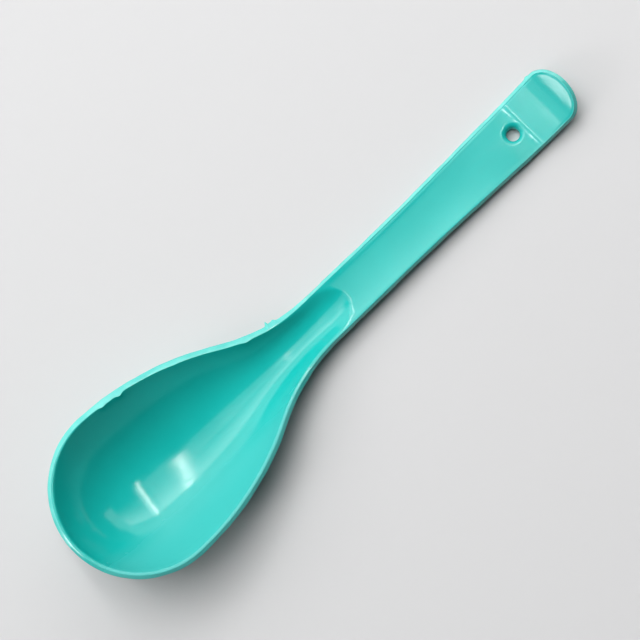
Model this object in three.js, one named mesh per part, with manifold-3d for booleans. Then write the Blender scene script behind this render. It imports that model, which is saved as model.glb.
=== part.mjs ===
import * as THREE from 'three';
import { mergeVertices } from 'three/addons/utils/BufferGeometryUtils.js';
import Module from 'manifold-3d';

// Serving spoon moulded in one piece. All sizes are in millimetres, all angles in degrees.
// The spoon is drawn flat first: s runs along its middle line from the bowl's tip to the handle's end,
// y runs across it and d stands off the rim. The middle line is then bent to the side profile.

// flat outline
const bowlWidth = 67.2;
const noseLength = 33.4;
const shoulderRadius = 112;
const neckRadius = 74.6;
const neckWidth = 20.4;
const waistWidth = 20;
const waistAt = 160;
const handleEndWidth = 23;
const spoonLength = 247;
const endRound = 8.3;

// side profile
const bowlStraight = 104;
const neckBendLength = 20;
const handleAngle = 10;
const foldFromEnd = 22;
const foldLength = 2.2;
const foldAngle = 8;
const tabStraight = 9;
const tabAngle = 32;

// hollow, rim and handle section
const bowlDepth = 21.5;
const bowlWall = 2.3;
const rimWidth = 2.3;
const rimDrop = 1.15;
const hollowEnd = 135;
const depthPower = 1.4;
const wallSteepness = 0.25;
const handleThickness = 4.4;
const tabThickness = 2.8;
const flankWidth = 1.9;
const flankDrop = 2;
const crestSlope = 0.45;
const troughDepth = 0.7;
const hollowEdgeRound = 1.2;
const undersideBlend = 3;
const undersideEdge = 2.4;
const standingFlatCut = 0.4;
const blendBeforeBend = 6;
const blendPastNeck = 4;
const closedMouth = 0.05;

// hanging hole
const holeFromEnd = 26.7;
const holeDiameter = 4.9;
const holeMouthDiameter = 8.9;
const holeMouthDepth = 2;

// gate stub on the left rim
const gateAt = 107.8;
const gateLength = 4;
const gateProud = 1.1;
const gateHeight = 1;
const gateRoot = 1.2;
const gateTipShare = 0.8;
const gateDrop = 0.8;

// steps of the skin, along in millimetres and round the two ends in degrees
const bowlStep = 3;
const hollowEndStep = 1.2;
const handleStep = 8;
const tabStep = 1.5;
const noseTurn = 6;
const endTurn = 7.5;
const mouthTurn = 18;
const flankShares = [0.35, 0.7, 1];
const cornerShares = [0.15, 0.5, 1];
const upperRings = 10;
const lowerRings = 7;
const holeSides = 32;
const gateSides = 10;
const levellingPasses = 6;

const plastic = new THREE.MeshStandardMaterial({
  name: 'teal_plastic',
  color: 0x42c8bc,
  roughness: 0.28,
  metalness: 0,
});

const { Manifold, Mesh } = await loadManifold();

async function loadManifold() {
  const wasm = await Module();
  wasm.setup();
  return wasm;
}

const radians = (degrees) => (degrees * Math.PI) / 180;
const lerp = (a, b, t) => a + (b - a) * t;

function smoothStep(a, b, x) {
  const t = Math.min(Math.max((x - a) / (b - a), 0), 1);
  return t * t * (3 - 2 * t);
}

// Lower of two heights, with the corner between them rounded over the height r.
function roundedMin(a, b, r) {
  const h = Math.max(r - Math.abs(a - b), 0);
  return Math.min(a, b) - (h * h) / (4 * r);
}

const halfBowl = bowlWidth / 2;
const halfNeck = neckWidth / 2;
const halfEnd = handleEndWidth / 2;
const handleEndsAt = spoonLength - endRound;
const foldStart = spoonLength - foldFromEnd;
const holeAt = spoonLength - holeFromEnd;
const tabCurlsAt = foldStart + foldLength + tabStraight;
const shoulderCentreY = halfBowl - shoulderRadius;
const neckCentreY = halfNeck + neckRadius;
const centreSpan = shoulderRadius + neckRadius;
const neckEndsAt = noseLength + Math.sqrt(centreSpan ** 2 - (neckCentreY - shoulderCentreY) ** 2);
const shoulderEndsAt = lerp(noseLength, neckEndsAt, shoulderRadius / centreSpan);

// Half width of the flat outline: nose, shoulder arc, neck arc, flared handle, rounded end.
function halfWidth(s) {
  if (s <= noseLength) return halfBowl * Math.sqrt(Math.max(1 - ((noseLength - s) / noseLength) ** 2, 0));
  if (s <= shoulderEndsAt) return shoulderCentreY + Math.sqrt(shoulderRadius ** 2 - (s - noseLength) ** 2);
  if (s <= neckEndsAt) return neckCentreY - Math.sqrt(neckRadius ** 2 - (s - neckEndsAt) ** 2);
  const waist = lerp(halfNeck, waistWidth / 2, smoothStep(neckEndsAt, waistAt, s));
  const side = lerp(waist, halfEnd, smoothStep(waistAt, handleEndsAt, s));
  const past = Math.max(s - handleEndsAt, 0) / endRound;
  return side * Math.sqrt(Math.max(1 - past * past, 0));
}

// Half width of the hollow's mouth, which narrows to a round end in the neck.
function hollowHalfWidth(s) {
  if (s <= noseLength) {
    const nose = noseLength - rimWidth;
    return (halfBowl - rimWidth) * Math.sqrt(Math.max(1 - ((noseLength - s) / nose) ** 2, 0));
  }
  const at = Math.min(s, neckEndsAt);
  const inner = halfWidth(at) - rimWidth * Math.hypot(1, slopeOfSide(at));
  if (s <= neckEndsAt) return inner;
  return inner * Math.sqrt(Math.max(1 - ((s - neckEndsAt) / (hollowEnd - neckEndsAt)) ** 2, 0));
}

function slopeOfSide(s) {
  const step = 0.05;
  return (halfWidth(s + step) - halfWidth(s - step)) / (2 * step);
}

const onHandle = (s) => smoothStep(bowlStraight - blendBeforeBend, neckEndsAt + blendPastNeck, s);
const onTab = (s) => smoothStep(foldStart - foldLength, foldStart + foldLength, s);
const widestDrop = (s) => lerp(rimDrop, flankDrop, onHandle(s));
const edgeFlank = (s) => lerp(rimWidth / 2, flankWidth, onHandle(s));

// Fraction of the full depth at the distance y from the middle of a hollow of half width a.
function bowlShape(y, a) {
  const v = y / a;
  return 1 - (1 - wallSteepness) * v * v - wallSteepness * v ** 4;
}

function hollowDepth(s) {
  return bowlDepth * (hollowHalfWidth(s) / (halfBowl - rimWidth)) ** depthPower;
}

// Height of the upper face; inset is the distance from the outline.
function topHeight(s, y, inset) {
  const flank = edgeFlank(s);
  if (inset < flank) {
    const rest = 1 - inset / flank;
    const slope = crestSlope * onHandle(s);
    return -widestDrop(s) * (slope * rest + (1 - slope) * rest * rest);
  }
  const crest = Math.max(halfWidth(s) - flank, 1);
  const trough = troughDepth * onHandle(s) * (1 - onTab(s)) * Math.max(1 - (y / crest) ** 2, 0);
  const mouth = hollowHalfWidth(s);
  if (mouth < closedMouth) return -trough;
  return roundedMin(-trough, -hollowDepth(s) * bowlShape(y, mouth), hollowEdgeRound);
}

// Height of the underside, which follows the hollow under the bowl and is flat under the handle.
function bottomHeight(s, y, inset) {
  const edge = 1 - Math.min(inset / undersideEdge, 1);
  const corner = Math.sqrt(1 - edge * edge);
  const drop = widestDrop(s);
  const thickness = lerp(handleThickness, tabThickness, smoothStep(foldStart, spoonLength, s));
  const plate = lerp(bowlWall, thickness, onHandle(s));
  const flat = -lerp(drop, plate, corner);
  const mouth = hollowHalfWidth(s);
  if (mouth < closedMouth) return flat;
  const shell = hollowDepth(s) + bowlWall - drop;
  const under = -drop - shell * bowlShape(y, halfWidth(s));
  return corner === 0 ? Math.min(flat, under) : roundedMin(flat, under, undersideBlend * corner);
}

const sideProfile = [
  { length: bowlStraight, turn: 0 },
  { length: neckBendLength, turn: radians(handleAngle) },
  { length: foldStart - bowlStraight - neckBendLength, turn: 0 },
  { length: foldLength, turn: radians(foldAngle) },
  { length: tabStraight, turn: 0 },
  { length: spoonLength - tabCurlsAt, turn: radians(tabAngle) },
];

// Point of the bent middle line at s, with its slope angle.
function profileAt(s) {
  let x = 0;
  let z = 0;
  let angle = 0;
  let left = s;
  for (const { length, turn } of sideProfile) {
    const run = Math.min(left, length);
    const bend = (turn * run) / length;
    const chord = turn === 0 ? run : (2 * Math.sin(bend / 2) * length) / turn;
    x += chord * Math.cos(angle + bend / 2);
    z += chord * Math.sin(angle + bend / 2);
    angle += bend;
    left -= run;
  }
  return { x, z, angle };
}

function bend(s, y, d) {
  const { x, z, angle } = profileAt(s);
  return new THREE.Vector3(x - d * Math.sin(angle), y, z + d * Math.cos(angle));
}

function spread(from, to, step) {
  const count = Math.max(Math.round((to - from) / step), 1);
  return Array.from({ length: count }, (_, i) => lerp(from, to, i / count));
}

// One side of the outline from tip to end: point, outward normal and the middle-line station it faces.
function outlineSide() {
  const points = [];
  for (const t of spread(0, 90, noseTurn)) {
    const a = radians(t);
    const normal = new THREE.Vector2(-halfBowl * Math.cos(a), noseLength * Math.sin(a)).normalize();
    const s = noseLength * (1 - Math.cos(a));
    points.push({ s, y: halfBowl * Math.sin(a), normal, middle: noseLength });
  }
  const stations = [
    ...spread(noseLength, neckEndsAt, bowlStep),
    ...spread(neckEndsAt, hollowEnd, hollowEndStep),
    ...spread(hollowEnd, foldStart - foldLength, handleStep),
    ...spread(foldStart - foldLength, handleEndsAt, tabStep),
  ];
  for (const s of stations) {
    const normal = new THREE.Vector2(-slopeOfSide(s), 1).normalize();
    points.push({ s, y: halfWidth(s), normal, middle: s });
  }
  for (const t of [...spread(0, 90, endTurn), 90]) {
    const a = radians(t);
    const normal = new THREE.Vector2(halfEnd * Math.sin(a), endRound * Math.cos(a)).normalize();
    const s = handleEndsAt + endRound * Math.sin(a);
    points.push({ s, y: halfEnd * Math.cos(a), normal, middle: handleEndsAt });
  }
  points.at(-1).y = 0;
  return points;
}

// The skin: rings step in from the outline to the middle line, over the upper face and the underside.
function spoonSkin() {
  const left = outlineSide();
  const mirrored = (p) => ({ ...p, y: -p.y, normal: new THREE.Vector2(p.normal.x, -p.normal.y) });
  const loop = [...left, ...left.slice(1, -1).reverse().map(mirrored)];
  const count = loop.length;
  const positions = [];
  const triangles = [];
  const addPoint = (s, y, d) => positions.push(bend(s, y, d)) - 1;
  const shared = loop.map((p) => addPoint(p.s, p.y, -widestDrop(p.s)));

  const stepIn = (p, inset) => ({ s: p.s - p.normal.x * inset, y: p.y - p.normal.y * inset });

  const addFace = (height, flankSteps, innerSteps, up) => {
    const strips = [shared];
    for (const step of flankSteps) {
      strips.push(loop.map((p) => {
        const inset = step.flank === undefined ? step.inset : step.flank * edgeFlank(p.s);
        const q = stepIn(p, inset);
        return addPoint(q.s, q.y, height(q.s, q.y, inset));
      }));
    }
    const edge = flankSteps.at(-1).inset;
    for (let k = 1; k < innerSteps; k += 1) {
      strips.push(loop.map((p) => {
        const q = stepIn(p, edge);
        const s = lerp(q.s, p.middle, k / innerSteps);
        const y = lerp(q.y, 0, k / innerSteps);
        return addPoint(s, y, height(s, y, Infinity));
      }));
    }
    const middle = new Map();
    for (const p of loop) {
      const known = middle.has(p.middle);
      if (!known) middle.set(p.middle, addPoint(p.middle, 0, height(p.middle, 0, Infinity)));
    }
    strips.push(loop.map((p) => middle.get(p.middle)));
    for (let k = 0; k + 1 < strips.length; k += 1) {
      for (let j = 0; j < count; j += 1) {
        const next = (j + 1) % count;
        const [a, b, c, d] = [strips[k][j], strips[k][next], strips[k + 1][next], strips[k + 1][j]];
        const corners = up ? [[a, d, b], [b, d, c]] : [[a, b, d], [b, c, d]];
        triangles.push(...corners.filter(([p, q, r]) => p !== q && q !== r && r !== p));
      }
    }
  };
  const crown = { inset: Math.max(rimWidth, flankWidth) + closedMouth };
  const upperSteps = [...flankShares.map((flank) => ({ flank })), crown];
  const lowerSteps = cornerShares.map((share) => ({ inset: undersideEdge * share }));
  addFace(topHeight, upperSteps, upperRings, true);
  addFace(bottomHeight, lowerSteps, lowerRings, false);
  return { positions, triangles };
}

function toManifold(positions, triangles) {
  const vertProperties = new Float32Array(positions.flatMap((p) => [p.x, p.y, p.z]));
  return new Manifold(new Mesh({ numProp: 3, vertProperties, triVerts: new Uint32Array(triangles.flat()) }));
}

function pointsOf(corners) {
  const at = (_, i) => new THREE.Vector3().fromBufferAttribute(corners, i);
  return Array.from({ length: corners.count }, at);
}

function fromThree(geometry) {
  const bare = new THREE.BufferGeometry();
  bare.setAttribute('position', geometry.getAttribute('position'));
  bare.setIndex(geometry.getIndex());
  const merged = mergeVertices(bare);
  const corners = merged.getAttribute('position');
  const index = merged.getIndex().array;
  const positions = pointsOf(corners);
  const triangles = [];
  for (let i = 0; i < index.length; i += 3) triangles.push([index[i], index[i + 1], index[i + 2]]);
  return toManifold(positions, triangles.filter(([a, b, c]) => a !== b && b !== c && c !== a));
}

function toThree(solid) {
  const mesh = solid.getMesh();
  const geometry = new THREE.BufferGeometry();
  geometry.setAttribute('position', new THREE.BufferAttribute(new Float32Array(mesh.vertProperties), 3));
  geometry.setIndex(new THREE.BufferAttribute(new Uint32Array(mesh.triVerts), 1));
  return geometry;
}

// Hanging hole: a round bore whose upper mouth is rolled over in a quarter ellipse.
function holeCutter() {
  const bore = holeDiameter / 2;
  const mouth = holeMouthDiameter / 2;
  const top = holeMouthDepth;
  const below = -handleThickness - holeMouthDepth;
  const profile = [new THREE.Vector2(0, below), new THREE.Vector2(bore, below)];
  for (const t of [...spread(0, 90, mouthTurn), 90]) {
    const a = radians(t);
    const out = lerp(mouth, bore, Math.cos(a));
    profile.push(new THREE.Vector2(out, -troughDepth - holeMouthDepth * (1 - Math.sin(a))));
  }
  profile.push(new THREE.Vector2(mouth, top), new THREE.Vector2(0, top));
  const { x, z, angle } = profileAt(holeAt);
  const cutter = new THREE.LatheGeometry(profile, holeSides);
  cutter.rotateX(Math.PI / 2);
  cutter.rotateY(-angle);
  cutter.translate(x, 0, z);
  return fromThree(cutter);
}

// Stub left on the rim where the plastic ran in.
function gateStub() {
  const half = gateLength / 2;
  const stub = new THREE.CylinderGeometry(half, half * gateTipShare, gateProud + gateRoot, gateSides);
  const { x, z, angle } = profileAt(gateAt);
  stub.scale(1, 1, gateHeight / gateLength);
  stub.rotateX(Math.PI);
  stub.translate(0, halfWidth(gateAt) + (gateProud - gateRoot) / 2, -gateDrop);
  stub.rotateY(-angle);
  stub.translate(x, 0, z);
  return fromThree(stub);
}

// Sets the spoon down on its bowl and handle, then trims the small standing flat under the bowl.
function setDown(positions) {
  const axis = new THREE.Vector3(0, 1, 0);
  const split = profileAt(neckEndsAt).x;
  const lowest = (points) => points.reduce((best, p) => (p.z < best.z ? p : best));
  for (let pass = 0; pass < levellingPasses; pass += 1) {
    const bowl = lowest(positions.filter((p) => p.x < split));
    const handle = lowest(positions.filter((p) => p.x >= split));
    const tilt = Math.atan2(handle.z - bowl.z - standingFlatCut, handle.x - bowl.x);
    for (const p of positions) p.applyAxisAngle(axis, tilt);
  }
  const box = new THREE.Box3().setFromPoints(positions);
  const floor = lowest(positions.filter((p) => p.x < split)).z + standingFlatCut;
  const middle = (box.min.x + box.max.x) / 2;
  for (const p of positions) p.set(p.x - middle, p.y, Math.max(p.z - floor, 0));
}

function spoonGeometry() {
  const { positions, triangles } = spoonSkin();
  const solid = toManifold(positions, triangles).subtract(holeCutter()).add(gateStub());
  const geometry = toThree(solid);
  const corners = geometry.getAttribute('position');
  const points = pointsOf(corners);
  setDown(points);
  points.forEach((p, i) => corners.setXYZ(i, p.x, p.y, p.z));
  geometry.computeVertexNormals();
  return geometry;
}

const group = new THREE.Group();
group.name = 'serving_spoon';
const spoon = new THREE.Mesh(spoonGeometry(), plastic);
spoon.name = 'spoon';
group.add(spoon);

export default group;
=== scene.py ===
import math

import bpy
import numpy as np
from mathutils import Matrix, Vector


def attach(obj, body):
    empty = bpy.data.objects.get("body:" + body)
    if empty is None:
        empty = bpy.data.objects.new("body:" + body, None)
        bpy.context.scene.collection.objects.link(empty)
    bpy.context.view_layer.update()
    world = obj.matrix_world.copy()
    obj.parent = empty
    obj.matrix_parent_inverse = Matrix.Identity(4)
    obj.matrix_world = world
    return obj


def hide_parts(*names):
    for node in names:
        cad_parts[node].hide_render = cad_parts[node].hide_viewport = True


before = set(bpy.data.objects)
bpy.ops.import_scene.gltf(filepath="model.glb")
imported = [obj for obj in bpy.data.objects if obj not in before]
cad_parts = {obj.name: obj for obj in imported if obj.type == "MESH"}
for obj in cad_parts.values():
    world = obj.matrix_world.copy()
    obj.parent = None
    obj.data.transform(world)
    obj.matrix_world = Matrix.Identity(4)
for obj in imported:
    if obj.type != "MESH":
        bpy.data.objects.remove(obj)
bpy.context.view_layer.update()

# The spoon is drawn flat first, in millimetres: s runs along its middle line from the bowl's tip to
# the handle's end, y runs across it and d stands off the rim. The middle line is then bent.
MM = 0.001

# flat outline
BOWL_WIDTH = 67.2
NOSE_LENGTH = 33.4
SHOULDER_RADIUS = 112.0
NECK_RADIUS = 74.6
NECK_WIDTH = 20.4
WAIST_WIDTH = 20.0
WAIST_AT = 160.0
HANDLE_END_WIDTH = 23.0
SPOON_LENGTH = 247.0
END_ROUND = 8.3

# side profile
BOWL_STRAIGHT = 104.0
NECK_BEND_LENGTH = 20.0
HANDLE_ANGLE = 10.0
FOLD_START = 224.6
FOLD_LENGTH = 1.4
FOLD_ANGLE = 11.0
TAB_STRAIGHT = 9.6
CURL_LENGTH = 6.8
CURL_ANGLE = 25.0
END_ANGLE = 1.0

# hollow, rim and handle section
BOWL_DEPTH = 21.5
BOWL_WALL = 2.3
RIM_WIDTH = 2.3
RIM_DROP = 1.15
RIM_SHARE = 0.92
RIM_SLOPE = 0.8
RIGHT_EDGE_SHARE = 0.6
# edges are painted paler, partly wear and partly a painted highlight: fully on the left, where the light falls,
# and by this share on the right
RIGHT_EDGE_WEAR_AND_HIGHLIGHT = 0.35
LEFT_RIM_WIDENS = (6.0, 45.0)
HOLLOW_END = 135.0
DEPTH_POWER = 1.4
DEPTH_SMOOTHING = 7.0
DEPTH_ROOM_SHARE = 0.45
DEPTH_SAMPLES = 15
NECK_SINK = 2.6
NECK_SINK_AT = 95.0
NECK_SINK_BEFORE = 30.0
NECK_SINK_AFTER = 38.0
WALL_STEEPNESS = 0.25
HANDLE_THICKNESS = 4.4
TAB_THICKNESS = 2.8
FLANK_WIDTH = 1.4
END_FLANK_WIDTH = 0.7
END_FLANK_STOPS = 1.0
LEAST_CREST = 1.0
FLANK_DROP = 1.8
CREST_SLOPE = 0.45
TROUGH_DEPTH = 0.7
TROUGH_RUNS_OUT = (185.0, 217.0)
BOWL_EDGE_ROUND = 0.25
CREASE_DEPTH = 0.14
CREASE_AT = 0.3
CREASE_WIDTH = 0.2
CREASE_RUNS_IN = (136.0, 165.0)
NECK_EDGE_ROUND = 1.6
UNDERSIDE_BLEND = 3.0
UNDERSIDE_EDGE = 2.4
STANDING_FLAT_CUT = 0.4
BLEND_BEFORE_BEND = 6.0
BLEND_PAST_NECK = 4.0
CLOSED_MOUTH = 0.05

# hanging hole
HOLE_AT = 220.3
HOLE_DIAMETER = 4.9
HOLE_MOUTH_DIAMETER = 8.9
HOLE_MOUTH_DEPTH = 2.0
HOLE_FOOT_ROUND = 0.35

# uneven witness line of the mould across the handle, just before the fold
RIDGE_AT = 223.9
RIDGE_SLANT = 0.035
RIDGE_HEIGHT = 0.0275
RIDGE_HALF = 0.5
# paler colour of the witness line: partly wear, partly a painted glint
RIDGE_WEAR_AND_GLINT = 0.8
RIDGE_MEAN = 0.5
# length, reach and start of each wave along the line
RIDGE_BEATS = ((7.0, 0.3, 0.6), (2.7, 0.2, 1.1))

# flash left by the mould on the left edge: station, reach out of the edge and half length of each tag
FLASH_TAGS = (
    (106.5, 1.5, 0.45),
    (108.0, 0.5, 1.5),
    (109.4, 0.6, 0.7),
    (237.7, 0.55, 0.7),
    (240.5, 0.2, 1.5),
)
# places where the left rim's inner edge runs over the hollow, given in the same way
RIM_TAGS = (
    (50.0, 0.9, 1.2),
    (46.0, 0.3, 3.0),
    (42.5, 0.55, 1.3),
    (97.5, 0.5, 1.6),
    (72.0, 0.15, 3.0),
)
RIM_TAG_FADE = 1.6
# length, reach and start of each wave along the whole edge
EDGE_WAVES = ((23.0, 0.05, 0.3), (11.3, 0.035, 1.7), (5.9, 0.02, 4.1))

HALF_BOWL = BOWL_WIDTH / 2
HALF_NECK = NECK_WIDTH / 2
HALF_WAIST = WAIST_WIDTH / 2
HALF_END = HANDLE_END_WIDTH / 2
HANDLE_ENDS = SPOON_LENGTH - END_ROUND
FOLD_ENDS = FOLD_START + FOLD_LENGTH
TAB_CURLS = FOLD_ENDS + TAB_STRAIGHT
SHOULDER_Y = HALF_BOWL - SHOULDER_RADIUS
NECK_Y = HALF_NECK + NECK_RADIUS
CENTRE_SPAN = SHOULDER_RADIUS + NECK_RADIUS
NECK_ENDS = NOSE_LENGTH + math.sqrt(CENTRE_SPAN ** 2 - (NECK_Y - SHOULDER_Y) ** 2)
SHOULDER_ENDS = NOSE_LENGTH + (NECK_ENDS - NOSE_LENGTH) * SHOULDER_RADIUS / CENTRE_SPAN


def lerp(a, b, t):
    return a + (b - a) * t


def smooth_step(a, b, x):
    t = np.clip((x - a) / (b - a), 0, 1)
    return t * t * (3 - 2 * t)


def rounded_min(a, b, r):
    """Lower of two heights, with the corner between them rounded over the height r."""
    h = np.maximum(r - np.abs(a - b), 0)
    return np.minimum(a, b) - h * h / (4 * r)


def waves(rows, at, shift=0):
    return sum(
        reach * np.sin(2 * math.pi * at / length + start + shift)
        for length, reach, start in rows
    )


def half_width(s):
    """Half width of the flat outline: nose, shoulder arc, neck arc, flared handle, rounded end."""
    nose = HALF_BOWL * np.sqrt(np.clip(1 - ((NOSE_LENGTH - s) / NOSE_LENGTH) ** 2, 0, None))
    shoulder = SHOULDER_Y + np.sqrt(np.clip(SHOULDER_RADIUS ** 2 - (s - NOSE_LENGTH) ** 2, 0, None))
    neck = NECK_Y - np.sqrt(np.clip(NECK_RADIUS ** 2 - (s - NECK_ENDS) ** 2, 0, None))
    waist = lerp(HALF_NECK, HALF_WAIST, smooth_step(NECK_ENDS, WAIST_AT, s))
    side = lerp(waist, HALF_END, smooth_step(WAIST_AT, HANDLE_ENDS, s))
    past = np.clip((s - HANDLE_ENDS) / END_ROUND, 0, 1)
    handle = side * np.sqrt(1 - past * past)
    stretches = [s <= NOSE_LENGTH, s <= SHOULDER_ENDS, s <= NECK_ENDS]
    return np.select(stretches, [nose, shoulder, neck], handle)


def side_slope(s):
    step = 0.05
    return (half_width(s + step) - half_width(s - step)) / (2 * step)


def hollow_half(s):
    """Half width of the hollow's mouth, which narrows to a round end in the neck."""
    ahead = (NOSE_LENGTH - s) / (NOSE_LENGTH - RIM_WIDTH)
    nose = (HALF_BOWL - RIM_WIDTH) * np.sqrt(np.clip(1 - ahead * ahead, 0, None))
    at = np.clip(s, NOSE_LENGTH, NECK_ENDS)
    inner = half_width(at) - RIM_WIDTH * np.hypot(1, side_slope(at))
    past = np.clip((s - NECK_ENDS) / (HOLLOW_END - NECK_ENDS), 0, 1)
    return np.where(s <= NOSE_LENGTH, nose, inner * np.sqrt(1 - past * past))


def hollow_depth(s):
    """Depth along the middle line, eased over a few millimetres so the gloss runs without a kink."""
    room = np.minimum(s - RIM_WIDTH, HOLLOW_END - s) * DEPTH_ROOM_SHARE
    reach = np.clip(room, 0, DEPTH_SMOOTHING)
    total = 0.0
    weights = 0.0
    for k in np.linspace(-1, 1, DEPTH_SAMPLES + 2)[1:-1]:
        weight = 1 - abs(k)
        share = hollow_half(s + k * reach) / (HALF_BOWL - RIM_WIDTH)
        total = total + weight * share ** DEPTH_POWER
        weights += weight
    past = s - NECK_SINK_AT
    past = np.clip(np.where(past < 0, past / NECK_SINK_BEFORE, past / NECK_SINK_AFTER), -1, 1)
    return BOWL_DEPTH * total / weights + NECK_SINK * np.cos(past * math.pi / 2) ** 2


def on_handle(s):
    """0 on the bowl and 1 on the handle, with a soft change in the neck."""
    return smooth_step(BOWL_STRAIGHT - BLEND_BEFORE_BEND, NECK_ENDS + BLEND_PAST_NECK, s)


def widest_drop(s):
    """How far the outline, the spoon's widest line, lies under the rim."""
    return lerp(RIM_DROP, FLANK_DROP, on_handle(s))


def edge_flank(s):
    """Width of the rounded outer edge, from the outline to its crest."""
    handle = lerp(FLANK_WIDTH, END_FLANK_WIDTH, smooth_step(HANDLE_ENDS, SPOON_LENGTH - END_FLANK_STOPS, s))
    return lerp(RIM_WIDTH * RIM_SHARE, handle, on_handle(s))


def bowl_shape(y, a):
    """Share of the full depth across a hollow of half width a."""
    v = y / a
    return 1 - (1 - WALL_STEEPNESS) * v ** 2 - WALL_STEEPNESS * v ** 4


def flank_height(s, share):
    """Height on the rounded outer edge; share runs from 0 on the outline to 1 on the crest."""
    rest = 1 - share
    slope = lerp(RIM_SLOPE, CREST_SLOPE, on_handle(s))
    return -widest_drop(s) * (slope * rest + (1 - slope) * rest * rest)


def ridge_height(s, y):
    """The uneven witness line across the handle, between the hole and the fold."""
    beat = waves(RIDGE_BEATS, y)
    off = (s - RIDGE_AT + RIDGE_SLANT * y) / RIDGE_HALF
    return RIDGE_HEIGHT * (RIDGE_MEAN + beat) * np.exp(-off ** 2)


def ridge_wear_and_glint(s, y):
    """How much paler the witness line is, as a share of the edges' full paleness: partly wear, partly a painted
    glint.
    """
    return RIDGE_WEAR_AND_GLINT * ridge_height(s, y) / RIDGE_HEIGHT


def top_height(s, y):
    """Height of the upper face: the handle's trough, cut by the hollow, with the witness line on it."""
    crest = np.maximum(half_width(s) - edge_flank(s), LEAST_CREST)
    along = on_handle(s) * (1 - smooth_step(*TROUGH_RUNS_OUT, s))
    trough = TROUGH_DEPTH * along * np.clip(1 - (y / crest) ** 2, 0, None)
    mouth = hollow_half(s)
    open_mouth = np.maximum(mouth, CLOSED_MOUTH)
    edge_round = lerp(BOWL_EDGE_ROUND, NECK_EDGE_ROUND, smooth_step(BOWL_STRAIGHT, NECK_ENDS, s))
    cut = rounded_min(-trough, -hollow_depth(s) * bowl_shape(y, open_mouth), edge_round)
    return np.where(mouth < CLOSED_MOUTH, -trough, cut) + ridge_height(s, y)


def bottom_height(s, y, inset):
    """Height of the underside; inset is the distance from the outline."""
    edge = 1 - np.minimum(inset / UNDERSIDE_EDGE, 1)
    corner = np.sqrt(1 - edge * edge)
    drop = widest_drop(s)
    thickness = lerp(HANDLE_THICKNESS, TAB_THICKNESS, smooth_step(FOLD_START, SPOON_LENGTH, s))
    plate = lerp(BOWL_WALL, thickness, on_handle(s))
    flat = -lerp(drop, plate, corner)
    shell = hollow_depth(s) + BOWL_WALL - drop
    under = -drop - shell * bowl_shape(y, np.maximum(half_width(s), CLOSED_MOUTH))
    blended = rounded_min(flat, under, UNDERSIDE_BLEND * np.maximum(corner, CLOSED_MOUTH))
    return np.where(hollow_half(s) < CLOSED_MOUTH, flat, blended)


def underside_height(s, y):
    """Height of the underside away from its rounded edge."""
    return bottom_height(s, y, SPOON_LENGTH)


# length and turn in degrees of each stretch of the middle line
SIDE_PROFILE = (
    (BOWL_STRAIGHT, 0.0),
    (NECK_BEND_LENGTH, HANDLE_ANGLE),
    (FOLD_START - BOWL_STRAIGHT - NECK_BEND_LENGTH, 0.0),
    (FOLD_LENGTH, FOLD_ANGLE),
    (TAB_STRAIGHT, 0.0),
    (CURL_LENGTH, CURL_ANGLE),
    (SPOON_LENGTH - TAB_CURLS - CURL_LENGTH, END_ANGLE),
)


def bent(s, y, d):
    """Point of the bent spoon for the flat place s, y and the height d."""
    s = np.asarray(s, float)
    x = np.zeros_like(s)
    z = np.zeros_like(s)
    angle = np.zeros_like(s)
    left = s.copy()
    for length, turn in SIDE_PROFILE:
        run = np.clip(left, 0, length)
        bend = math.radians(turn) * run / length
        chord = run * np.sinc(bend / (2 * np.pi))
        x = x + chord * np.cos(angle + bend / 2)
        z = z + chord * np.sin(angle + bend / 2)
        angle = angle + bend
        left = left - run
    return np.stack([x - d * np.sin(angle), y + np.zeros_like(s), z + d * np.cos(angle)], axis=-1)


# points round the two ends, and the stretch of the middle line that each end's points face
NOSE_POINTS = 56
END_POINTS = 40
NOSE_MIDDLE = 13.0
END_MIDDLE = 3.0
# steps along the spoon in millimetres, finer round the gate stub, the hole, the witness line and the fold
GATE_AT = 107.8
GATE_REACH = 3.2
RIDGE_REACH = 1.2
FOLD_REACH = 0.8
HOLLOW_REACH = 1.0
HOLE_BLOCK = (214.4, 224.85)
BOWL_STEP = 0.8
GATE_STEP = 0.25
NECK_STEP = 0.7
HANDLE_STEP = 2.5
HOLE_STEP = 0.45
RIDGE_STEP = 0.1
FOLD_STEP = 0.2
TAB_STEP = 0.6
# rings of points from the outline inwards
FLANK_SHARES = (0.1, 0.25, 0.42, 0.6, 0.78, 0.92, 1.0)
CROWN_STEPS = (0.12, 0.3, 0.48, 0.75, 1.1, 1.5, 1.9, 2.4)
CORE_INSET = 4.9
CORNER_SHARES = (0.015, 0.06, 0.14, 0.26, 0.42, 0.6, 0.8, 1.0)
UNDER_STEPS = (3.1, 4.0)
CORE_RINGS = 24
HOLE_RINGS = 26
HOLE_UNDER_RINGS = 7
MOUTH_RINGS = 12
BORE_RINGS = 3
FOOT_RINGS = 4
LEVELLING_PASSES = 8


def spread(start, stop, step):
    count = max(round((stop - start) / step), 1)
    return np.linspace(start, stop, count + 1)[:-1]


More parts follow.
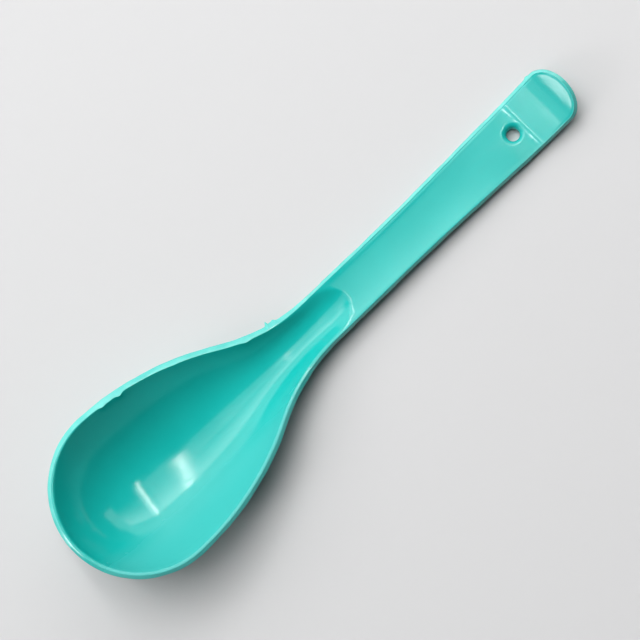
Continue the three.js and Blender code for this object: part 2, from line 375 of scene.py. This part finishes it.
def outline_side():
    """One side from tip to end: station, half width, outward normal and the middle station it faces."""
    t = np.linspace(0, math.pi / 2, NOSE_POINTS + 1)[:-1]
    nose_s = NOSE_LENGTH * (1 - np.cos(t))
    nose_y = HALF_BOWL * np.sin(t)
    nose_n = np.stack([-HALF_BOWL * np.cos(t), NOSE_LENGTH * np.sin(t)], 1)
    nose_m = NOSE_LENGTH - (NOSE_LENGTH - NOSE_MIDDLE) * np.cos(t)
    s = np.concatenate([
        spread(NOSE_LENGTH, GATE_AT - GATE_REACH, BOWL_STEP),
        spread(GATE_AT - GATE_REACH, GATE_AT + GATE_REACH, GATE_STEP),
        spread(GATE_AT + GATE_REACH, HOLLOW_END + HOLLOW_REACH, NECK_STEP),
        spread(HOLLOW_END + HOLLOW_REACH, HOLE_BLOCK[0], HANDLE_STEP),
        spread(HOLE_BLOCK[0], RIDGE_AT - RIDGE_REACH, HOLE_STEP),
        spread(RIDGE_AT - RIDGE_REACH, HOLE_BLOCK[1], RIDGE_STEP),
        spread(HOLE_BLOCK[1], FOLD_ENDS + FOLD_REACH, FOLD_STEP),
        spread(FOLD_ENDS + FOLD_REACH, HANDLE_ENDS, TAB_STEP),
    ])
    mid_n = np.stack([-side_slope(s), np.ones_like(s)], 1)
    t = np.linspace(0, math.pi / 2, END_POINTS + 1)
    end_s = HANDLE_ENDS + END_ROUND * np.sin(t)
    end_y = HALF_END * np.cos(t)
    end_n = np.stack([HALF_END * np.sin(t), END_ROUND * np.cos(t)], 1)
    end_m = HANDLE_ENDS + END_MIDDLE * np.sin(t)
    end_y[-1] = 0
    normal = np.concatenate([nose_n, mid_n, end_n])
    normal /= np.linalg.norm(normal, axis=1)[:, None]
    return (
        np.concatenate([nose_s, s, end_s]),
        np.concatenate([nose_y, half_width(s), end_y]),
        normal,
        np.concatenate([nose_m, s, end_m]),
    )


def bumps(tags, s):
    return sum(reach * np.exp(-((s - at) / half) ** 2) for at, reach, half in tags)


def edge_shift(s, left, depth):
    """How far an outline point stands out of the drawn outline; depth is its share of the edge's width."""
    return (waves(EDGE_WAVES, s, left) + (left > 0) * bumps(FLASH_TAGS, s)) * (1 - depth)


class Skin:
    """Collects rings of points and the quads between them."""

    def __init__(self):
        self.points = []
        self.flat = []
        self.edge = []
        self.quads = []
        self.count = 0

    def add(self, s, y, d, edge=0.0):
        s = np.asarray(s, float)
        y = np.asarray(y, float)
        self.points.append(bent(s, y, d))
        self.flat.append(np.stack([s, y], 1))
        self.edge.append(np.zeros(len(s)) + edge)
        index = np.arange(self.count, self.count + len(s))
        self.count += len(s)
        return index

    def strip(self, outer, inner, up, keep=None):
        a, b = outer, np.roll(outer, -1)
        d, c = inner, np.roll(inner, -1)
        quads = np.stack([a, d, c, b] if up else [a, b, c, d], 1)
        self.quads.append(quads if keep is None else quads[keep])

    def place(self, index):
        return np.concatenate(self.flat)[index]


def build_skin():
    """Points, quads and edge paleness (wear and painted highlight) of the whole skin: both faces, joined at the
    outline and through the hole.
    """
    side_s, side_y, side_n, side_m = outline_side()
    n = len(side_s)
    back = slice(n - 2, 0, -1)
    s = np.concatenate([side_s, side_s[back]])
    y = np.concatenate([side_y, -side_y[back]])
    normal = np.concatenate([side_n, side_n[back] * [1, -1]])
    m = np.concatenate([side_m, side_m[back]])
    size = len(s)
    to_middle = np.concatenate([np.arange(n), np.arange(n)[back]])
    core_s = s - normal[:, 0] * CORE_INSET
    core_y = y - normal[:, 1] * CORE_INSET

    first = int(np.argmin(np.abs(side_s - HOLE_BLOCK[0])))
    last = int(np.argmin(np.abs(side_s - HOLE_BLOCK[1])))
    in_block = np.zeros(size, bool)
    in_block[first:last] = True
    in_block[size - last:size - first] = True

    left = np.sign(y)
    full = smooth_step(*LEFT_RIM_WIDENS, s) * (1 - smooth_step(HANDLE_ENDS, SPOON_LENGTH, s))
    flank = edge_flank(s) * np.where(left > 0, lerp(RIGHT_EDGE_SHARE, 1.0, full), RIGHT_EDGE_SHARE)
    # paler edges, partly wear and partly a painted highlight: fully on the lit left side, less on the right
    wear_and_highlight = np.where(left > 0, 1.0, RIGHT_EDGE_WEAR_AND_HIGHLIGHT)
    skin = Skin()
    out = edge_shift(s, left, 0)
    shared = skin.add(s + normal[:, 0] * out, y + normal[:, 1] * out, -widest_drop(s), wear_and_highlight)

    def face(edge_rings, height, up):
        """One face from the outline to the middle line; returns the loop that it leaves open round the hole."""
        previous = shared
        for ring_s, ring_y, ring_d, edge in edge_rings:
            ring = skin.add(ring_s, ring_y, ring_d, edge)
            skin.strip(previous, ring, up)
            previous = ring
        rings = []
        for k in range(CORE_RINGS):
            t = k / CORE_RINGS
            ring_s, ring_y = lerp(core_s, m, t), lerp(core_y, 0.0, t)
            rings.append(skin.add(ring_s, ring_y, height(ring_s, ring_y)))
        middle = skin.add(side_m, np.zeros(n), height(side_m, np.zeros(n)))
        rings.append(middle[to_middle])
        skin.strip(previous, rings[0], up)
        for outer, inner in zip(rings, rings[1:]):
            skin.strip(outer, inner, up, ~in_block)
        right_first, right_last = size - first, size - last
        along = rings[0][first:last]
        down = [r[last] for r in rings] + [r[right_last] for r in rings[-2::-1]]
        back_along = rings[0][right_last + 1:right_first]
        upward = [r[right_first] for r in rings] + [r[first] for r in rings[-2:0:-1]]
        return np.concatenate([along, down, back_along, upward]).astype(int)

    upper = []
    for share in FLANK_SHARES:
        over = (left > 0) * bumps(RIM_TAGS, s) * share
        inset = share * flank + over - edge_shift(s, left, share)
        place = (s - normal[:, 0] * inset, y - normal[:, 1] * inset)
        upper.append((*place, flank_height(s, share), wear_and_highlight))
    on_left, on_right = smooth_step(*CREASE_RUNS_IN, s), smooth_step(FOLD_ENDS, HANDLE_ENDS, s)
    creased = np.where(left > 0, on_left, on_right)
    for step in CROWN_STEPS:
        inset = flank + step
        ring_s, ring_y = s - normal[:, 0] * inset, y - normal[:, 1] * inset
        crease = CREASE_DEPTH * math.exp(-((step - CREASE_AT) / CREASE_WIDTH) ** 2)
        height = top_height(ring_s, ring_y) - crease * creased
        over = (left > 0) * bumps(RIM_TAGS, s) * max(1 - step / RIM_TAG_FADE, 0)
        place = (ring_s - normal[:, 0] * over, ring_y - normal[:, 1] * over)
        # paler witness line on the upper face: partly wear, partly a painted glint
        upper.append((*place, height, ridge_wear_and_glint(ring_s, ring_y)))
    lower = []
    for inset in [share * UNDERSIDE_EDGE for share in CORNER_SHARES] + list(UNDER_STEPS):
        ring_s, ring_y = s - normal[:, 0] * inset, y - normal[:, 1] * inset
        out = edge_shift(s, left, min(inset / UNDERSIDE_EDGE, 1))
        place = (ring_s + normal[:, 0] * out, ring_y + normal[:, 1] * out)
        # underside edges paler towards the outline: partly wear, partly painted highlight
        edge = wear_and_highlight * max(1 - inset / UNDERSIDE_EDGE, 0)
        lower.append((*place, bottom_height(ring_s, ring_y, inset), edge))

    top_loop = face(upper, top_height, True)
    bottom_loop = face(lower, underside_height, False)

    offset = skin.place(top_loop) - [HOLE_AT, 0]
    reach = np.hypot(offset[:, 0], offset[:, 1])
    ray = offset / reach[:, None]
    bore, mouth = HOLE_DIAMETER / 2, HOLE_MOUTH_DIAMETER / 2
    foot = bore + HOLE_FOOT_ROUND

    def ring_at(radius, height):
        ring_s, ring_y = HOLE_AT + ray[:, 0] * radius, ray[:, 1] * radius
        # paler witness line round the hole: partly wear, partly a painted glint
        wear_and_glint = ridge_wear_and_glint(ring_s, ring_y) if height is top_height else 0.0
        return skin.add(ring_s, ring_y, height(ring_s, ring_y), wear_and_glint)

    rings = [top_loop]
    for k in range(1, HOLE_RINGS + 1):
        rings.append(ring_at(lerp(reach, mouth, k / HOLE_RINGS), top_height))
    for k in range(1, MOUTH_RINGS + 1):
        a = math.radians(90 * (1 - k / MOUTH_RINGS))
        drop = HOLE_MOUTH_DEPTH * (1 - math.sin(a))
        rings.append(ring_at(lerp(mouth, bore, math.cos(a)), lambda p, q: top_height(p, q) - drop))
    for k in range(1, BORE_RINGS + 1):
        t = k / BORE_RINGS

        def between(p, q):
            start = top_height(p, q) - HOLE_MOUTH_DEPTH
            return lerp(start, underside_height(p, q) + HOLE_FOOT_ROUND, t)

        rings.append(ring_at(bore, between))
    for k in range(1, FOOT_RINGS + 1):
        a = math.radians(90 * k / FOOT_RINGS)
        lift = HOLE_FOOT_ROUND * (1 - math.sin(a))
        rings.append(ring_at(lerp(foot, bore, math.cos(a)), lambda p, q: underside_height(p, q) + lift))
    for k in range(1, HOLE_UNDER_RINGS):
        rings.append(ring_at(lerp(foot, reach, k / HOLE_UNDER_RINGS), underside_height))
    rings.append(bottom_loop)
    for outer, inner in zip(rings, rings[1:]):
        skin.strip(outer, inner, True)
    return np.concatenate(skin.points), np.concatenate(skin.quads), np.concatenate(skin.edge)


def set_down(points):
    """Levels the spoon on its bowl and handle, then trims the small standing flat under the bowl."""
    split = bent([NECK_ENDS], 0.0, 0.0)[0, 0]
    for _ in range(LEVELLING_PASSES):
        near = points[:, 0] < split
        bowl = points[near][points[near][:, 2].argmin()]
        handle = points[~near][points[~near][:, 2].argmin()]
        tilt = math.atan2(handle[2] - bowl[2] - STANDING_FLAT_CUT, handle[0] - bowl[0])
        c, s = math.cos(tilt), math.sin(tilt)
        points = points @ np.array([[c, 0, -s], [0, 1, 0], [s, 0, c]])
    floor = points[points[:, 0] < split][:, 2].min() + STANDING_FLAT_CUT
    middle = (points[:, 0].min() + points[:, 0].max()) / 2
    points = points - [middle, 0, floor]
    points[:, 2] = np.maximum(points[:, 2], 0)
    return points


def make_spoon():
    points, quads, edge = build_skin()
    used = np.unique(quads)
    renumber = np.zeros(len(points), int)
    renumber[used] = np.arange(len(used))
    mesh = bpy.data.meshes.new("spoon_skin")
    mesh.from_pydata((set_down(points[used]) * MM).tolist(), [], renumber[quads].tolist())
    mesh.shade_smooth()
    # the edge attribute holds edge paleness: partly wear, partly painted highlight and glint
    mesh.attributes.new("edge", "FLOAT", "POINT").data.foreach_set("value", edge[used])
    mesh.validate()
    piece = bpy.data.objects.new("spoon_skin", mesh)
    bpy.context.scene.collection.objects.link(piece)
    return piece


# plastic: colours in linear light, the right side's painted sheen and rougher finish by its place across,
# depths in millimetres
DEEP_TEAL = (0.006, 0.382, 0.348, 1)
CLEAR_TEAL = (0.010, 0.412, 0.376, 1)
# paler colour of the right side: a painted sheen
SHEEN_PAINTED_TEAL = (0.038, 0.420, 0.392, 1)
SIDE_HAZE = 0.3
SHEEN_AND_HAZE_SIDE = (-18 * MM, -9.5 * MM)
# pale colour of edges and witness line: partly wear, partly painted highlight and glint
PALE_EDGE_WEAR_AND_HIGHLIGHT = (0.17, 0.62, 0.56, 1)
FLOW_DEPTH = 0.12
GRAIN_DEPTH = 0.0015
PLASTIC_IOR = 1.5
GLOSS = (0.10, 0.15)
EDGE_WEAR_AND_HIGHLIGHT = (0.45, 0.8)
SCRATCH_HAZE = 0.10
SCRATCH_LEVELS = (0.62, 0.75)
# scale, detail and stretch of each noise
TINT_NOISE = (55, 4)
WEAR_AND_HIGHLIGHT_NOISE = (160, 3)
GLOSS_NOISE = (90, 5)
SCRATCH_NOISE = (700, 2, (0.06, 1, 1))
FLOW_NOISE = (38, 2, (0.5, 1, 1))
GRAIN_NOISE = (1500, 2)


def plastic():
    """Glossy moulded plastic with uneven colour and gloss, paler edges and witness line (partly wear, partly
    painted highlight and glint), scratches, and a rougher right side painted paler as a sheen.
    """
    material = bpy.data.materials.new("teal_plastic_skin")
    material.use_nodes = True
    nodes, links = material.node_tree.nodes, material.node_tree.links
    shader = nodes["Principled BSDF"]
    place = nodes.new("ShaderNodeTexCoord")

    def noise(scale, detail, stretch=(1, 1, 1)):
        mapping = nodes.new("ShaderNodeMapping")
        mapping.inputs["Scale"].default_value = stretch
        texture = nodes.new("ShaderNodeTexNoise")
        texture.inputs["Scale"].default_value = scale
        texture.inputs["Detail"].default_value = detail
        links.new(place.outputs["Object"], mapping.inputs["Vector"])
        links.new(mapping.outputs["Vector"], texture.inputs["Vector"])
        return texture.outputs["Fac"]

    def scaled(value, low, high, start=0.3, stop=0.7):
        ramp = nodes.new("ShaderNodeMapRange")
        ramp.inputs["From Min"].default_value = start
        ramp.inputs["From Max"].default_value = stop
        ramp.inputs["To Min"].default_value = low
        ramp.inputs["To Max"].default_value = high
        links.new(value, ramp.inputs["Value"])
        return ramp.outputs["Result"]

    def mixed(share, first, second):
        mix = nodes.new("ShaderNodeMix")
        mix.data_type = "RGBA"
        links.new(share, mix.inputs["Factor"])
        for socket, colour in (("A", first), ("B", second)):
            target = next(i for i in mix.inputs if i.name == socket and i.type == "RGBA")
            if isinstance(colour, tuple):
                target.default_value = colour
            else:
                links.new(colour, target)
        return next(o for o in mix.outputs if o.type == "RGBA")

    def added(a, b):
        total = nodes.new("ShaderNodeMath")
        links.new(a, total.inputs[0])
        links.new(b, total.inputs[1])
        return total.outputs[0]

    def bumped(height, depth, under=None):
        bump = nodes.new("ShaderNodeBump")
        bump.inputs["Strength"].default_value = 1
        bump.inputs["Distance"].default_value = depth * MM
        links.new(height, bump.inputs["Height"])
        if under:
            links.new(under, bump.inputs["Normal"])
        return bump.outputs["Normal"]

    edge = nodes.new("ShaderNodeAttribute")
    edge.attribute_name = "edge"
    split = nodes.new("ShaderNodeSeparateXYZ")
    links.new(place.outputs["Object"], split.inputs[0])
    # the right side is painted paler as a sheen, and is made rougher below
    sheen_and_haze = scaled(split.outputs["Y"], 1, 0, *SHEEN_AND_HAZE_SIDE)
    tint = mixed(scaled(noise(*TINT_NOISE), 0, 1), DEEP_TEAL, CLEAR_TEAL)
    tint = mixed(sheen_and_haze, tint, SHEEN_PAINTED_TEAL)
    # edges and witness line paler: partly wear, partly painted highlight and glint
    wear_and_highlight = nodes.new("ShaderNodeMath")
    wear_and_highlight.operation = "MULTIPLY"
    links.new(edge.outputs["Fac"], wear_and_highlight.inputs[0])
    links.new(scaled(noise(*WEAR_AND_HIGHLIGHT_NOISE), *EDGE_WEAR_AND_HIGHLIGHT), wear_and_highlight.inputs[1])
    links.new(mixed(wear_and_highlight.outputs[0], tint, PALE_EDGE_WEAR_AND_HIGHLIGHT), shader.inputs["Base Color"])

    gloss = scaled(noise(*GLOSS_NOISE), *GLOSS)
    scratches = scaled(noise(*SCRATCH_NOISE), 0, SCRATCH_HAZE, *SCRATCH_LEVELS)
    haze = scaled(sheen_and_haze, 0, SIDE_HAZE, 0, 1)
    links.new(added(added(gloss, scratches), haze), shader.inputs["Roughness"])
    flow = bumped(noise(*FLOW_NOISE), FLOW_DEPTH)
    links.new(bumped(noise(*GRAIN_NOISE), GRAIN_DEPTH, flow), shader.inputs["Normal"])
    shader.inputs["IOR"].default_value = PLASTIC_IOR
    return material


# floor, in metres: it lies a hair under the spoon's standing flat
FLOOR_REACH = 4.0
FLOOR_HEIGHT = -0.0001
FLOOR_GREY = (0.505, 0.505, 0.51, 1)
FLOOR_ROUGHNESS = 0.6


def make_floor():
    mesh = bpy.data.meshes.new("floor")
    sides = ((-1, -1), (1, -1), (1, 1), (-1, 1))
    corners = [(x * FLOOR_REACH, y * FLOOR_REACH, FLOOR_HEIGHT) for x, y in sides]
    mesh.from_pydata(corners, [], [(0, 1, 2, 3)])
    floor = bpy.data.objects.new("floor", mesh)
    bpy.context.scene.collection.objects.link(floor)
    material = bpy.data.materials.new("pale_floor")
    material.use_nodes = True
    shader = material.node_tree.nodes["Principled BSDF"]
    shader.inputs["Base Color"].default_value = FLOOR_GREY
    shader.inputs["Roughness"].default_value = FLOOR_ROUGHNESS
    mesh.materials.append(material)
    return floor


# camera, from the outline of the photographed spoon: angles in degrees, lengths in millimetres,
# picture measures in pixels of a 640 by 640 frame
FRAME_SIZE = 640
CAMERA_LEAN_X = 3.0
CAMERA_LEAN_Y = -8.756
CAMERA_DISTANCE = 600.0
CAMERA_ROLL = 43.818
FOCAL_PIXELS = 1644.07
CENTRE_PIXEL = (323.1, 314.6)
CAMERA_TARGET = Vector((0, 0, 12.0)) * MM
SENSOR = 36.0


def make_camera():
    lean_x, lean_y = math.radians(CAMERA_LEAN_X), math.radians(CAMERA_LEAN_Y)
    view = Vector((math.sin(lean_x), math.sin(lean_y), 0))
    view.z = math.sqrt(1 - view.x ** 2 - view.y ** 2)
    across = Vector((0, 1, 0)).cross(view).normalized()
    along = view.cross(across)
    roll = math.radians(CAMERA_ROLL)
    right = across * math.cos(roll) - along * math.sin(roll)
    up = across * math.sin(roll) + along * math.cos(roll)
    data = bpy.data.cameras.new("camera")
    data.sensor_width = SENSOR
    data.lens = FOCAL_PIXELS * SENSOR / FRAME_SIZE
    half = FRAME_SIZE / 2
    data.shift_x = (half - CENTRE_PIXEL[0]) / FRAME_SIZE
    data.shift_y = (CENTRE_PIXEL[1] - half) / FRAME_SIZE
    camera = bpy.data.objects.new("camera", data)
    turn = Matrix((right, up, view)).transposed().to_4x4()
    camera.matrix_world = Matrix.Translation(CAMERA_TARGET + view * CAMERA_DISTANCE * MM) @ turn
    bpy.context.scene.collection.objects.link(camera)
    bpy.context.scene.camera = camera


# lamps, in metres; those that overlap in plan hang at heights of their own, so that none hides another
LAMP_HEIGHT = 2.5
WINDOW_ENDS = 2.55
STRIPS_END = 2.6
# light from the far side: where it rises, by the direction's y, and its strength before and after
SKY_RISES = (0.35, 0.8)
SKY_STRENGTH = (0.02, 0.4)
SKY_SEEN = (0.80, 0.81, 0.82, 1)


def lamp(name, width, length, radiance, place, turn):
    """A flat rectangular lamp of even radiance, in metres."""
    data = bpy.data.lights.new(name, "AREA")
    data.shape = "RECTANGLE"
    data.size = width
    data.size_y = length
    data.energy = radiance * math.pi * width * length
    light = bpy.data.objects.new(name, data)
    light.location = place
    light.rotation_euler = turn
    bpy.context.scene.collection.objects.link(light)
    return light


def panel(name, start, stop, width, radiance, height=LAMP_HEIGHT):
    """A lamp that hangs level over the table, from start to stop in plan."""
    start, stop = Vector(start), Vector(stop)
    place = (*((start + stop) / 2), height)
    turn = (0, 0, math.atan2(start.x - stop.x, stop.y - start.y))
    return lamp(name, width, (stop - start).length, radiance, place, turn)


def fade_in(light, start, stop, axis="Y"):
    """Lets a lamp's light rise softly from nothing between two shares of its length or width."""
    light.data.use_nodes = True
    nodes, links = light.data.node_tree.nodes, light.data.node_tree.links
    geometry = nodes.new("ShaderNodeNewGeometry")
    split = nodes.new("ShaderNodeSeparateXYZ")
    ramp = nodes.new("ShaderNodeMapRange")
    ramp.interpolation_type = "SMOOTHSTEP"
    ramp.inputs["From Min"].default_value = start
    ramp.inputs["From Max"].default_value = stop
    links.new(geometry.outputs["Parametric"], split.inputs[0])
    links.new(split.outputs[axis], ramp.inputs["Value"])
    links.new(ramp.outputs["Result"], nodes["Emission"].inputs["Strength"])


def make_world():
    """A dim surround that lights the spoon from the far side, and an even pale one for the camera."""
    world = bpy.data.worlds.new("studio")
    bpy.context.scene.world = world
    world.use_nodes = True
    nodes, links = world.node_tree.nodes, world.node_tree.links
    place = nodes.new("ShaderNodeTexCoord")
    split = nodes.new("ShaderNodeSeparateXYZ")
    ramp = nodes.new("ShaderNodeMapRange")
    ramp.interpolation_type = "SMOOTHSTEP"
    ramp.inputs["From Min"].default_value, ramp.inputs["From Max"].default_value = SKY_RISES
    ramp.inputs["To Min"].default_value, ramp.inputs["To Max"].default_value = SKY_STRENGTH
    lit = nodes["Background"]
    seen = nodes.new("ShaderNodeBackground")
    seen.inputs["Color"].default_value = SKY_SEEN
    path = nodes.new("ShaderNodeLightPath")
    mix = nodes.new("ShaderNodeMixShader")
    links.new(place.outputs["Generated"], split.inputs[0])
    links.new(split.outputs["Y"], ramp.inputs["Value"])
    links.new(ramp.outputs["Result"], lit.inputs["Strength"])
    lit.inputs["Color"].default_value = (1, 1, 1, 1)
    links.new(path.outputs["Is Camera Ray"], mix.inputs[0])
    links.new(lit.outputs[0], mix.inputs[1])
    links.new(seen.outputs[0], mix.inputs[2])
    links.new(mix.outputs[0], nodes["World Output"].inputs["Surface"])


def make_lights():
    window = panel("window", (1.25, -0.4), (1.25, WINDOW_ENDS), width=5.9, radiance=4.1)
    fade_in(window, 0.1, 1)
    panel("lamp_box", (0.16, -0.2), (0.16, WINDOW_ENDS), width=0.72, radiance=1.25, height=2.48)
    panel("glow", (0, WINDOW_ENDS), (0, 6.5), width=13, radiance=1.5)
    panel("side_glow", (5.6, -0.4), (5.6, 3.3), width=2.8, radiance=1.6)
    upright = (0, -math.pi / 2, 0)
    end_window = lamp("end_window", width=2.8, length=1.6, radiance=13.0, place=(-5.0, 0.9, 3.2), turn=upright)
    fade_in(end_window, 1, 0, "X")
    panel("end_gap", (-2.05, -0.1), (-2.05, 1.3), width=2.0, radiance=1.0, height=2.46)
    panel("tab_glow", (-0.6, -0.05), (-0.6, 0.85), width=0.9, radiance=1.1, height=2.47)
    panel("strip_near", (-0.21, 0.1), (-0.19, STRIPS_END), width=0.19, radiance=6, height=2.45)
    panel("strip_near_core", (-0.19, 0.1), (-0.17, STRIPS_END), width=0.06, radiance=16, height=2.44)
    panel("strip_far", (0.64, -0.45), (0.94, STRIPS_END), width=0.1, radiance=20, height=2.45)
    panel("strip_far_soft", (0.82, -0.2), (1.1, STRIPS_END), width=0.26, radiance=4, height=2.46)
    make_world()


bpy.context.scene.view_settings.view_transform = "Standard"
make_camera()
make_lights()
make_floor()
spoon = make_spoon()
spoon.data.materials.append(plastic())
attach(spoon, "root")
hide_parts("spoon")
